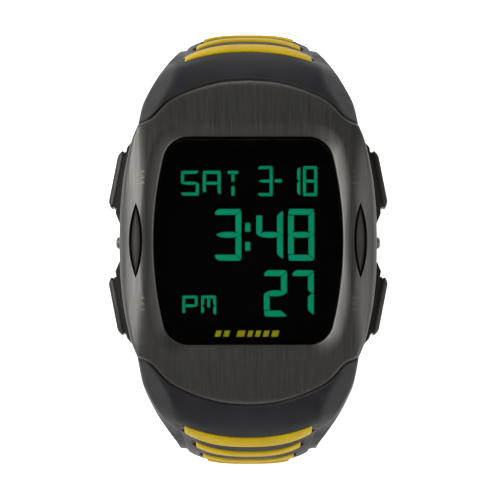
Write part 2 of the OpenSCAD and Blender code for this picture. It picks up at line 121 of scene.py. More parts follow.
def spline(points, per=12):
    """A smooth line through the points."""
    p = np.array(points, float)
    p = np.vstack([2 * p[0] - p[1], p, 2 * p[-1] - p[-2]])
    out = []
    for i in range(1, len(p) - 2):
        t = np.linspace(0, 1, per, endpoint=False)[:, None]
        a, b, c, d = p[i - 1], p[i], p[i + 1], p[i + 2]
        square = (2 * a - 5 * b + 4 * c - d) * t**2
        cube = (3 * b - a - 3 * c + d) * t**3
        out.append(0.5 * (2 * b + (c - a) * t + square + cube))
    return np.vstack(out + [p[-2:-1]])


def four_ways(q):
    """A quarter outline from the +Y axis to the +X axis, repeated round all four quarters."""
    return np.vstack([q, q[::-1] * [1, -1], q * [-1, -1], q[::-1] * [-1, 1]])


def smooth_min(a, b, k):
    h = np.clip(0.5 + 0.5 * (b - a) / k, 0, 1)
    return b + (a - b) * h - k * h * (1 - h)


def smooth_step(t):
    t = np.clip(t, 0, 1)
    return t * t * (3 - 2 * t)


def radii(outline, n):
    """Radius of a closed outline at n even angles round its centre."""
    share = np.linspace(0, 1, 12, endpoint=False)[:, None, None]
    outline = (outline + (np.roll(outline, -1, 0) - outline) * share).reshape(-1, 2)
    angle = np.arctan2(outline[:, 1], outline[:, 0]) % (2 * math.pi)
    order = np.argsort(angle)
    radius = np.hypot(outline[:, 0], outline[:, 1])[order]
    even = np.linspace(0, 2 * math.pi, n, endpoint=False)
    return np.interp(even, angle[order], radius, period=2 * math.pi)


def barrel(grow=0.0):
    """The display opening's outline, grown outwards by that much."""
    steps = 24
    half = np.array(WINDOW_HALF) + grow
    side_r, corner_r = WINDOW_SIDE_R + grow, WINDOW_CORNER_R + grow
    middle = half[0] - side_r
    cy = half[1] - corner_r
    cx = middle + math.sqrt((side_r - corner_r) ** 2 - cy**2)
    meet = math.asin(cy / (side_r - corner_r))
    a = np.linspace(math.pi / 2, meet, steps)
    b = np.linspace(meet, 0, steps)[1:]
    top = np.linspace(0, cx, 10)[:-1]
    return four_ways(np.vstack([
        np.stack([top, np.full_like(top, half[1])], 1),
        np.stack([cx + corner_r * np.cos(a), cy + corner_r * np.sin(a)], 1),
        np.stack([middle + side_r * np.cos(b), side_r * np.sin(b)], 1),
    ]))


def crown_z(y):
    """Height of the lengthwise crown and its shoulder."""
    y = np.abs(np.asarray(y, float))
    flat = HEAD_H - CROWN_R + np.sqrt(CROWN_R**2 - y**2)
    reach = np.clip(SHOULDER_R**2 - (y - SHOULDER_C[0]) ** 2, 0, None)
    return np.where(y < SHOULDER_Y, flat, SHOULDER_C[1] + np.sqrt(reach))


def side_z(x):
    """Height of the rolled sides."""
    out = np.clip(np.abs(np.asarray(x, float)) - ROLL_X, 0, ROLL_R - 0.5)
    return HEAD_H - ROLL_R + np.sqrt(ROLL_R**2 - out**2)


def bezel_z(x, y):
    """Height of the bezel's outer face, where the crown runs softly into the rolled sides."""
    return HEAD_H - np.hypot(HEAD_H - crown_z(y), HEAD_H - side_z(x))


# ---- Materials ----

def srgb(text):
    """A colour written as in a style sheet, in linear light."""
    v = [int(text[i:i + 2], 16) / 255 for i in (1, 3, 5)]
    return [c / 12.92 if c < 0.04045 else ((c + 0.055) / 1.055) ** 2.4 for c in v] + [1.0]


MATERIALS = {}


class Shader:
    """A node material that is built up a layer at a time, and kept under its name in MATERIALS."""

    def __init__(self, name, metallic=0.0, **sockets):
        self.mat = MATERIALS[name] = bpy.data.materials.new(name)
        self.mat.use_nodes = True
        self.tree = self.mat.node_tree
        self.bsdf = self.tree.nodes["Principled BSDF"]
        self.bsdf.inputs["Metallic"].default_value = metallic
        for key, value in sockets.items():
            self.bsdf.inputs[key.replace("_", " ")].default_value = value
        self.coords = self.node("ShaderNodeTexCoord").outputs["Object"]

    def node(self, kind, **settings):
        made = self.tree.nodes.new(kind)
        for key, value in settings.items():
            setattr(made, key, value)
        return made

    def link(self, a, b):
        self.tree.links.new(a, b)

    def noise(self, per_mm, stretch=(1, 1, 1), detail=4.0, roughness=0.6):
        """Noise of that many waves a millimetre, stretched along the axes with a small factor."""
        mapping = self.node("ShaderNodeMapping")
        mapping.inputs["Scale"].default_value = [1000 * per_mm * s for s in stretch]
        self.link(self.coords, mapping.inputs["Vector"])
        tex = self.node("ShaderNodeTexNoise")
        tex.inputs["Scale"].default_value = 1.0
        tex.inputs["Detail"].default_value = detail
        tex.inputs["Roughness"].default_value = roughness
        self.link(mapping.outputs["Vector"], tex.inputs["Vector"])
        return tex.outputs["Fac"]

    def spread(self, fac, low, high, lo=0.3, hi=0.7):
        """The factor from lo to hi, spread out over low to high."""
        ranged = self.node("ShaderNodeMapRange")
        for key, value in (("From Min", lo), ("From Max", hi), ("To Min", low), ("To Max", high)):
            ranged.inputs[key].default_value = value
        self.link(fac, ranged.inputs["Value"])
        return ranged.outputs["Result"]

    def mix(self, fac, a, b):
        mixed = self.node("ShaderNodeMix", data_type="RGBA")
        self.link(fac, mixed.inputs["Factor"])
        for value, socket in ((a, mixed.inputs[6]), (b, mixed.inputs[7])):
            if isinstance(value, list):
                socket.default_value = value
            else:
                self.link(value, socket)
        return mixed.outputs[2]

    def edges(self, radius_mm=0.25, power=6.0):
        """A mask that is bright along sharp edges."""
        bevel = self.node("ShaderNodeBevel", samples=4)
        bevel.inputs["Radius"].default_value = radius_mm * MM
        flat = self.node("ShaderNodeNewGeometry")
        dot = self.node("ShaderNodeVectorMath", operation="DOT_PRODUCT")
        self.link(bevel.outputs["Normal"], dot.inputs[0])
        self.link(flat.outputs["Normal"], dot.inputs[1])
        return self.spread(dot.outputs["Value"], 0.0, 1.0, 1.0, 1.0 - 1.0 / power)

    def colour(self, socket):
        self.link(socket, self.bsdf.inputs["Base Color"])

    def rough(self, fac, low, high):
        self.link(self.spread(fac, low, high), self.bsdf.inputs["Roughness"])

    def bump(self, fac, height_mm):
        bump = self.node("ShaderNodeBump")
        bump.inputs["Strength"].default_value = 1.0
        bump.inputs["Distance"].default_value = height_mm * MM
        self.link(fac, bump.inputs["Height"])
        self.link(bump.outputs["Normal"], self.bsdf.inputs["Normal"])


def brushed(name, dark, light, wear, along=1, rough=(0.28, 0.42), streak=7.0, depth=0.004):
    """Metal brushed along one axis, with a little wear along its edges."""
    s = Shader(name, metallic=1.0)
    stretch = [1.0, 1.0, 0.05 if along == 1 else 1.0]
    stretch[along] = 0.02
    lines = s.noise(streak, stretch, detail=3.0)
    broad = s.noise(0.12, (1, 1, 1), detail=2.0)
    tone = s.mix(s.spread(lines, 0.0, 1.0), srgb(dark), srgb(light))
    shade = s.mix(s.spread(broad, 0.0, 0.25), tone, srgb(dark))
    s.colour(s.mix(s.edges(), shade, srgb(wear)))
    s.rough(s.noise(streak * 0.7, stretch), *rough)
    s.bump(lines, depth)


def moulded(name, dark, light, wear, rough=(0.45, 0.62), grain=5.0, depth=0.012, specular=0.4):
    """Moulded resin or rubber with a fine grain and scuffed edges."""
    s = Shader(name, Specular_IOR_Level=specular)
    patches = s.noise(0.25, detail=3.0)
    fine = s.noise(grain, detail=5.0, roughness=0.7)
    tone = s.mix(s.spread(patches, 0.0, 1.0), srgb(dark), srgb(light))
    speck = s.mix(s.spread(fine, 0.0, 0.3, 0.55, 0.8), tone, srgb(wear))
    s.colour(s.mix(s.edges(0.3, 4.0), speck, srgb(wear)))
    s.rough(patches, *rough)
    s.bump(fine, depth)


def printed(name, dark, light, rough=(0.3, 0.4), painted_glow=0.0, specular=0.0):
    """A thin printed layer with faint mottling, and optionally a painted glow: emission that makes the print
    look lit.
    """
    grain = 9.0
    s = Shader(name, Specular_IOR_Level=specular)
    fine = s.noise(grain, detail=3.0)
    tone = s.mix(s.spread(fine, 0.0, 1.0), srgb(dark), srgb(light))
    s.colour(tone)
    s.rough(s.noise(grain * 0.3), *rough)
    s.bump(fine, 0.002)
    # Painted glow: the print is no lamp, so this emission stands in for light it does not get under the
    # glass.
    if painted_glow:
        s.link(tone, s.bsdf.inputs["Emission Color"])
        s.bsdf.inputs["Emission Strength"].default_value = painted_glow


def glass(name, tint, clear):
    """Coated clear glass over the display, with faint clouding in its polish."""
    s = Shader(name, Transmission_Weight=1.0, IOR=1.12)
    cloud = s.noise(0.4)
    s.colour(s.mix(s.spread(cloud, 0.0, 1.0), srgb(tint), srgb(clear)))
    s.rough(cloud, 0.0, 0.02)


brushed("bezel_metal", "#555451", "#63625e", "#72706b", rough=(0.32, 0.44))
brushed("pusher_metal", "#373635", "#464442", "#5a5854", rough=(0.36, 0.48))
brushed("buckle_metal", "#66655f", "#8a887f", "#b5b2a8", along=0)
brushed("back_steel", "#8d8c88", "#b0afa9", "#d5d3cc", along=0)
brushed("pin_steel", "#92918d", "#b9b8b2", "#dddbd4", along=0, rough=(0.18, 0.3))
brushed("clip_steel", "#8f8e8a", "#b4b3ad", "#d8d6cf")
brushed("screw_steel", "#5d5c58", "#7b7973", "#9b988f", rough=(0.26, 0.38))
brushed("battery_steel", "#9d9c98", "#c2c1bb", "#e0ded7", along=0, rough=(0.2, 0.3))
brushed("contact_brass", "#a07a2e", "#c9a24a", "#e5c77a")
moulded("case_resin", "#1d1c1d", "#262526", "#3a393a")
moulded("strap_resin", "#1d1b1e", "#242326", "#343236", rough=(0.46, 0.6), specular=0.22)
moulded("insert_rubber", "#2c2a29", "#373432", "#4a4745", rough=(0.5, 0.65))
moulded("stripe_yellow", "#c29e00", "#d0b000", "#dfc52e", rough=(0.5, 0.62), grain=4.0, specular=0.2)
moulded("gasket_rubber", "#111111", "#1a1a1a", "#2a2a2a")
moulded("zebra_rubber", "#4a4a4a", "#686868", "#7c7c7c")
moulded("module_plastic", "#b9b4a6", "#cdc8ba", "#dedace")
moulded("chip_black", "#101010", "#1b1b1b", "#2c2c2c")
printed("mask_black", "#000000", "#010101", rough=(0.6, 0.7))
printed("lcd_dark", "#000000", "#020302", rough=(0.5, 0.6))
printed("backlight", "#c3cbc3", "#d6ddd5")
printed("board_green", "#14502a", "#1d6638", specular=0.5)
# Painted glow: the display segments are not lamps, but emission keeps them bright under the glass.
printed("segment_green", "#056b4b", "#087656", rough=(0.6, 0.7), painted_glow=0.75)
# Painted glow: emission brightens the printed yellow marks, which are no lamp.
printed("mark_yellow", "#6e6a08", "#7c780c", rough=(0.6, 0.7), painted_glow=0.6)
glass("lens_glass", "#f2f5f3", "#fdfefd")


# ---- Mesh helpers ----

def new_mesh(name, verts, faces):
    """A mesh from vertices in millimetres, with each closed shell's faces turned outwards."""
    mesh = bpy.data.meshes.new(name)
    mesh.from_pydata((np.asarray(verts, float) * MM).tolist(), [], [list(map(int, f)) for f in faces])
    bm = bmesh.new()
    bm.from_mesh(mesh)
    bmesh.ops.remove_doubles(bm, verts=bm.verts, dist=1e-7)
    bmesh.ops.dissolve_degenerate(bm, edges=bm.edges, dist=1e-7)
    bmesh.ops.recalc_face_normals(bm, faces=bm.faces)
    for shell in shells(bm):
        if sum(face.calc_area() * face.normal.dot(face.calc_center_median()) for face in shell) < 0:
            bmesh.ops.reverse_faces(bm, faces=shell)
    bm.to_mesh(mesh)
    bm.free()
    return mesh


def shells(bm):
    """The faces of each connected part."""
    left, out = set(bm.faces), []
    while left:
        stack, shell = [left.pop()], []
        while stack:
            face = stack.pop()
            shell.append(face)
            for edge in face.edges:
                for other in edge.link_faces:
                    if other in left:
                        left.discard(other)
                        stack.append(other)
        out.append(sorted(shell, key=lambda f: f.index))
    return out


def add_object(name, data):
    obj = bpy.data.objects.new(name, data)
    bpy.context.scene.collection.objects.link(obj)
    return obj


def put(name, verts, faces, body, slot, replaces=(), sharp=32, material=None, cutters=()):
    """Makes a piece from vertices in millimetres and sets it on its body."""
    obj = add_object(name, new_mesh(name, verts, faces))
    for cutter in cutters:
        carve(obj, cutter)
    mesh = obj.data
    mesh.polygons.foreach_set("use_smooth", [True] * len(mesh.polygons))
    mesh.set_sharp_from_angle(angle=math.radians(sharp))
    mesh.materials.clear()
    mesh.materials.append(MATERIALS[material or slot])
    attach(obj, body)
    if replaces:
        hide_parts(*replaces)
    return obj


def carve(obj, shape):
    """Cuts a closed shape, given as vertices in millimetres and faces, out of the object's mesh."""
    tool = add_object("cutter", new_mesh("cutter", *shape))
    modifier = obj.modifiers.new("cut", "BOOLEAN")
    modifier.operation, modifier.solver, modifier.object = "DIFFERENCE", "EXACT", tool
    graph = bpy.context.evaluated_depsgraph_get()
    result = bpy.data.meshes.new_from_object(obj.evaluated_get(graph))
    obj.modifiers.clear()
    old, obj.data = obj.data, result
    bpy.data.meshes.remove(old)
    bpy.data.objects.remove(tool)


def loft(loops):
    """Joins closed loops of equal length, each an array of points, into one capped skin."""
    verts = np.vstack(loops)
    n, m = len(loops[0]), len(loops)
    faces = [(i * n + j, i * n + (j + 1) % n, (i + 1) * n + (j + 1) % n, (i + 1) * n + j)
             for i in range(m - 1) for j in range(n)]
    return verts, faces + [tuple(range(n)), tuple(range((m - 1) * n, m * n))]


def torus(loops):
    """Joins closed loops into a ring."""
    verts = np.vstack(loops)
    n, m = len(loops[0]), len(loops)
    return verts, [(i * n + j, i * n + (j + 1) % n, (i + 1) % m * n + (j + 1) % n, (i + 1) % m * n + j)
                   for i in range(m) for j in range(n)]


def joined(*shapes):
    """Several shapes as one."""
    verts, faces, base = [], [], 0
    for v, f in shapes:
        verts.append(np.asarray(v, float))
        faces += [tuple(i + base for i in face) for face in f]
        base += len(v)
    return np.vstack(verts), faces


def rounded_rect(hx, hy, r, per=6):
    """Points round a rectangle with round corners."""
    out = []
    for k, (sx, sy) in enumerate([(1, 1), (-1, 1), (-1, -1), (1, -1)]):
        a = np.linspace(k * math.pi / 2, (k + 1) * math.pi / 2, per)
        out.append(np.stack([sx * (hx - r) + r * np.cos(a), sy * (hy - r) + r * np.sin(a)], 1))
    return np.vstack(out)


def circle(r, n=32):
    a = np.linspace(0, 2 * math.pi, n, endpoint=False)
    return np.stack([r * np.cos(a), r * np.sin(a)], 1)


def lift(outline, z):
    """An XY outline at a height, which may be a number or one height a point."""
    return np.column_stack([outline, np.broadcast_to(z, len(outline))])


def across_x(outline, x, z=0.0):
    """An outline in Y and Z set at a place along X and raised by z."""
    return np.column_stack([np.full(len(outline), x), outline[:, 0], outline[:, 1] + z])


# ---- Bezel ----

def bezel_outline():
    end, side = spline(BEZEL_END_ARC), spline(BEZEL_SIDE)
    return four_ways(np.vstack([end, side[1:]]))


def vesica(half_l, half_w, n=20):
    """Pointed oval along Y."""
    y = np.linspace(-half_l, half_l, n)
    x = half_w * (1 - (y / half_l) ** 2)
    return np.vstack([np.stack([x, y], 1), np.stack([-x[1:-1], y[1:-1]], 1)[::-1]])


def slot_cutter(side):
    """Cuts an insert's slot with a small flared lip."""
    loops = []
    for level, grow in ((-4.0, 0.0), (-0.22, 0.0), (0.02, 0.16), (1.5, 1.1)):
        v = vesica(SLOT_HALF[0] + grow * 1.5, SLOT_HALF[1] + grow) + [side * INSERT_X, 0]
        loops.append(lift(v, bezel_z(v[:, 0], v[:, 1]) + level))
    return loft(loops)


def tick_cutter(x, y):
    """Cuts a shallow tick in the bezel."""
    depth, clear = 0.1, 0.6
    hx, hy = TICK_HALF
    base = np.array([(-hx, -hy), (hx, -hy), (hx, 0), (hx, hy), (-hx, hy)]) + [x, y]
    face = bezel_z(base[:, 0], base[:, 1])
    return loft([lift(base, face - depth), lift(base, face + clear)])


def bezel():
    """The bezel's shell, swept as rings round the window from its skirt over the top and back."""
    steps = 420
    skirt_z, wall, chamfer, round_w, ledge = 7.9, 1.5, 0.15, 0.4, 1.0
    dish_w, dish_drop, dish_power = 2.6, 0.5, 1.5
    lens_seat = LENS_Z[1] + 0.03
    ray = circle(1.0, steps)
    outer = radii(bezel_outline(), steps)
    inner = radii(barrel(), steps)
    ends = np.abs(ray[:, 1] * outer) > CASE_END
    loops = []

    def add(radius, z):
        loops.append(np.column_stack([ray * radius[:, None], z]))

    def top(radius):
        p = ray * radius[:, None]
        return bezel_z(p[:, 0], p[:, 1])

    rim = top(outer)
    skirt = np.where(ends, rim - BEZEL_T * 1.15, skirt_z)
    add(outer - wall, skirt)
    add(outer - chamfer, skirt)
    add(outer, skirt + chamfer)
    for inset, drop in ((0.0, 0.45), (0.03, 0.3), (0.1, 0.14), (0.22, 0.04)):
        r = outer - inset
        add(r, np.minimum(top(r), rim + 0.02) - drop)
    add(outer - round_w, top(outer - round_w))
    for share in np.linspace(0.1, 1.0, 12):
        r = outer - round_w - (outer - round_w - inner - dish_w) * share
        add(r, top(r))
    for e in np.linspace(dish_w, 0.16, 12)[1:]:
        r = inner + e
        add(r, top(r) - dish_drop * (1 - e / dish_w) ** dish_power)
    for e, drop in ((0.05, 0.04), (0.0, 0.13)):
        r = inner + e
        add(r, top(r) - dish_drop - drop)
    add(inner, np.full(steps, lens_seat))
    r = inner + ledge
    add(r, np.maximum(top(r) - BEZEL_T - 0.35, lens_seat))
    r = outer - wall - 0.1
    add(r, np.maximum(top(r) - BEZEL_T, skirt + 0.2))
    cutters = [slot_cutter(side) for side in (-1, 1)]
    for _, sx, sy in CORNERS:
        cutters += [tick_cutter(sx * TICK_AT[0], sy * (TICK_AT[1] + TICK_PITCH * k)) for k in range(3)]
    put("bezel_shell", *torus(loops), "case", "bezel_metal", ["bezel"], cutters=cutters, sharp=40)


def inserts():
    """The rubber ovals, each a domed stack of shrinking outlines."""
    half_l, half_w = INSERT_HALF
    domed = ((0.05, -2.4), (0.05, -0.85), (0.12, -0.62), (0.24, -0.48), (0.5, -0.36), (0.78, -0.3))
    for side, name in ((-1, "left"), (1, "right")):
        loops = []
        for inset, level in domed:
            share = 1 - inset / half_w
            v = vesica(half_l * (0.25 + 0.75 * share ** 0.5), half_w * share) + [side * INSERT_X, 0]
            loops.append(lift(v, bezel_z(v[:, 0], v[:, 1]) + level))
        put(f"insert_{name}", *loft(loops), "case", "insert_rubber", [f"bezel_insert_{name}"])


def side_screws():
    """Domed screw heads at 3 and 9 o'clock, each on a tab of the bezel."""
    head = [(0.98, 0.0), (0.98, 0.25), (0.9, 0.42), (0.72, 0.55), (0.45, 0.63), (0.22, 0.64), (0.18, 0.4)]
    tab = ((20.72, 0), (21.28, 0), (21.42, 0.06), (21.48, 0.18))
    heads, tabs = [], []
    for s in (-1, 1):
        heads.append(loft([across_x(circle(r), s * SCREW_X + s * u, SCREW_Z) for r, u in head]))
        squares = [(x, rounded_rect(TAB_HALF - e, TAB_HALF - e, 0.7)) for x, e in tab]
        tabs.append(loft([across_x(o, s * x, TAB_Z) for x, o in squares]))
    put("side_screw_heads", *joined(*heads), "case", "screw_steel", ["bezel_screws"])
    put("bezel_tabs", *joined(*tabs), "case", "bezel_metal")


# ---- Display ----

def lens():
    """The glass, with a flange under the bezel and a bevelled edge in the window."""
    flange, pane, face = barrel(0.8), barrel(-0.12), barrel(-0.4)
    low, seat, top = LENS_Z
    levels = [(flange, low), (flange, seat), (pane, seat), (pane, top - 0.2), (face, top)]
    put("lens_pane", *loft([lift(o, z) for o, z in levels]), "case", "lens_glass", ["lens"], sharp=20)


def segment_shapes(x0, x1, y0, y1, t, lit):
    """The lit bars of one seven-segment character in a box, as flat outlines."""
    gap_share, corner_share = 0.08, 0.25
    xm, ym, g, c = (x0 + x1) / 2, (y0 + y1) / 2, t * gap_share, t * corner_share
    h = t / 2
    met, bare = (x0 + g, x0 + c), (x0 + 0.1 * t, x0 + 0.7 * t)
    left, low = [met if k in lit else bare for k in "fe"]
    bars = {
        "a": [(left[1], y1), (x1 - c, y1), (x1 - g, y1 - c + g), (x1 - t, y1 - t),
              (left[0], y1 - t), (left[0], y1 - t + h)],
        "d": [(low[1], y0), (x1 - c, y0), (x1 - g, y0 + c - g), (x1 - t, y0 + t),
              (low[0], y0 + t), (low[0], y0 + t - h)],
    }
    drop = y1 - t * 1.12
    bars["f"] = [(x0, drop), (x0 + t, drop), (x0 + t, ym + h + g), (x0 + t * 0.4, ym + g), (x0, ym + g)]
    bars["e"] = [(x, 2 * ym - y) for x, y in bars["f"]]
    tall = [(x0, y1 - c - 2 * g), (x0 + c * 0.3, y1 - c - g), (x0 + t, y1 - t - 2 * g), (x0 + t, ym + h + g),
            (x0 + t * 0.4, ym + g), (x0, ym + g)]
    bars["b"] = [(x0 + x1 - x, y) for x, y in tall]
    bars["c"] = [(x, 2 * ym - y) for x, y in bars["b"]]
    u = np.linspace(-1, 1, 11)
    reach = (x1 - x0) / 2 - 0.15 * t - g
    over = [(xm + reach * k, ym + h * (1 - abs(k) ** 3)) for k in u]
    bars["g"] = over + [(xm + reach * k, ym - h * (1 - abs(k) ** 3)) for k in u[::-1][1:-1]]
    bars["m"] = [(xm - h, y1 - t - 2 * g), (xm - h, ym - h), (xm + h, ym - h), (xm + h, y1 - t - 2 * g)]
    bars["t"] = [(x0, y1 - t), (x1, y1 - t), (x1, y1), (x0, y1)]
    bars["u"] = [(xm - h, ym + h), (xm + h, ym + h), (xm + h, y1 - t - 2 * g), (xm - h, y1 - t - 2 * g)]
    bars["v"] = [(xm - h, y0), (xm + h, y0), (xm + h, ym - 2 * h), (xm - h, ym - 2 * h)]
    return [bars[k] for k in lit]


def slabs(outlines, z, thick):
    """Flat plates of one thickness."""
    outlines = [np.array(o, float) for o in outlines]
    return joined(*[loft([lift(o, z), lift(o, z + thick)]) for o in outlines])


def mask():
    """The printed black plate round the display, with round corners to its opening."""
    steps = 720
    ray = circle(1.0, steps)
    outer = radii(barrel(-0.4), steps)[:, None] * ray
    inner = radii(rounded_rect(*MASK_OPENING, 10), steps)[:, None] * ray
    low, high = MASK_Z
    rings = [lift(outer, low), lift(outer, high), lift(inner, high), lift(inner * 1.004, low)]
    put("mask_plate", *torus(rings), "case", "mask_black", ["display_mask"])


def display():
    """The shown segments and a row of plain bars printed on the mask, both in materials with a painted glow.
    """
    big, small, tiny = 0.98, 0.52, 0.52 * 0.9
    upper, day, seconds, half_day = (7.65, 12.7), (7.75, 11.9), (-12.5, -4.75), (-12.4, -9.0)
    middle = (-3.15, 5.5)
    shapes = []
    for x0, x1, (y0, y1), t, lit in (
        (-11.25, -8.25, day, small, "afgcd"), (-7.6, -4.6, day, small, "abcefg"),
        (-3.4, -1.7, day, small, "tuv"), (1.65, 4.1, upper, small, "abcdg"),
        (6.2, 8.7, upper, small, "bc"), (9.15, 11.55, upper, small, "abcdefg"),
        (-5.6, -1.15, middle, big, "abcdg"), (1.35, 5.8, middle, big, "bcfg"),
        (6.65, 11.05, middle, big, "abcdefg"),
        (2.6, 6.45, seconds, big, "abged"), (7.35, 10.95, seconds, big, "abc"),
        (-11.0, -8.45, half_day, tiny, "abefg"), (-7.85, -5.35, half_day, tiny, "abcefm"),
    ):
        shapes += segment_shapes(x0, x1, y0, y1, t, lit)
    for x0, x1, y0, y1 in ((4.45, 5.6, 9.95, 10.5), (-0.5, 0.35, 1.7, 3.15), (-0.5, 0.35, -1.5, -0.05)):
        shapes.append([(x0, y0), (x1, y0), (x1, y1), (x0, y1)])
    # The segments' green material has a painted glow: emission that makes the unlit display look lit.
    put("display_segments", *slabs(shapes, SEGMENT_Z, 0.05), "case", "lcd_dark", material="segment_green")
    low, high, slant = -15.9, -14.9, 0.3
    bars = ((-5.6, 0.9), (-4.2, 0.9), (-2.0, 1.3), (-0.2, 0.8), (1.1, 0.8), (2.4, 0.9), (3.8, 1.1))
    marks = [[(x, low), (x + w, low), (x + w + slant, high), (x + slant, high)] for x, w in bars]
    # The marks' yellow material has a painted glow too.
    put("mask_marks", *slabs(marks, MASK_Z[1] + 0.01, 0.03), "case", "mask_black", material="mark_yellow")


# ---- Pushers ----

COIL_R, COIL_WIRE_R, COIL_TURNS = 1.5, 0.17, 4
COIL_ENDS = (-4.8, -1.8)


def at_pusher(points, sx, sy):
    """Points drawn along a pusher's own axis, moved to the corner of the case they belong to."""
    ca, sa = math.cos(PUSHER_TURN), math.sin(PUSHER_TURN)
    x = PUSHER_FACE[0] + points[:, 0] * ca - points[:, 1] * sa
    y = PUSHER_FACE[1] + points[:, 0] * sa + points[:, 1] * ca
    return np.column_stack([sx * x, sy * y, PUSHER_FACE[2] + points[:, 2]])


def pusher_cap(name, sx, sy):
    """A cap with a waist line, an inset face and a grooved stem, drawn along its own axis."""
    levels = [(-1.6, 4.7, 2.15, 0.5), (-1.5, 4.85, 2.3, 0.6), (-1.12, 4.85, 2.3, 0.6),
              (-1.06, 4.72, 2.17, 0.55), (-0.9, 4.72, 2.17, 0.55), (-0.84, 4.85, 2.3, 0.6),
              (-0.55, 4.85, 2.3, 0.6), (-0.3, 4.55, 2.2, 0.6), (-0.08, 4.15, 2.05, 0.6),
              (0.0, 3.95, 1.9, 0.6), (0.0, 3.35, 1.3, 0.5), (-0.16, 3.2, 1.15, 0.45)]
    loops = [across_x(rounded_rect(h, w, r), u) for u, h, w, r in levels]
    stem = [(-1.6, 1.1), (-6.25, 1.1), (-6.25, 0.75), (-6.75, 0.75), (-6.75, 1.1), (-9.4, 1.1), (-9.4, 0.75),
            (-9.7, 0.75), (-9.7, 1.1), (-10.05, 1.1), (-10.2, 0.95)]
    stem_loops = [across_x(circle(r, 24), u) for u, r in stem]
    verts, faces = joined(loft(loops), loft(stem_loops))
    body = f"pusher_{name}"
    put(f"cap_{name}", at_pusher(verts, sx, sy), faces, body, "pusher_metal", [body], sharp=30)


def pusher_coil(name, sx, sy):
    """The pusher's return spring, set on the case."""
    inner, outer = COIL_ENDS
    turn = np.linspace(0, 2 * math.pi * COIL_TURNS, 16 * COIL_TURNS + 1)
    run = np.linspace(inner, outer, len(turn))
    lean = math.atan((outer - inner) / (2 * math.pi * COIL_R * COIL_TURNS))
    loops = []
    for a, u in zip(turn, run):
        ring = circle(COIL_WIRE_R, 10)
        out, up = COIL_R + ring[:, 0], ring[:, 1]
        loops.append(np.column_stack([
            u + up * math.cos(lean),
            out * math.cos(a) + up * math.sin(lean) * math.sin(a),
            out * math.sin(a) - up * math.sin(lean) * math.cos(a),
        ]))
    verts, faces = loft(loops)
    stands_for = [f"pusher_spring_{name}"]
    coil = put(f"coil_{name}", at_pusher(verts, sx, sy), faces, "case", "pin_steel", stands_for)
    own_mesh(coil)


# ---- Strap ----

START_A = math.asin((BEZEL_END - SHOULDER_C[0]) / SHOULDER_R)
S_HORIZON = (math.pi / 2 - START_A) * SHOULDER_R
KNUCKLE_R = 2.0
INNER_R = 11.1
NECK_Y = 20.7
ROW_CURVE_R = 46
TAPER_RUN = 95
CROWN_DEPTH, CROWN_POWER = 1.9, 3.2
MIDDLE_SINK, SKIN_GAP = 0.25, 0.03
FACET_AT, FACET_SLOPE = (14.4, 23.5), (0.986, 1.03)
GROOVE_DEPTH, GROOVE_SIDE, GROOVE_LIP = 0.42, 0.22, 0.14
LUG_ROOM_R, LUG_ROOM_X, BAR_BORE_R = 2.75, (10.5, 13.9), 0.95
PIVOT_BORE_R = 0.8
TOP_POINTS = 49
LOW_POINTS = 13
SIDE_POINTS = 4


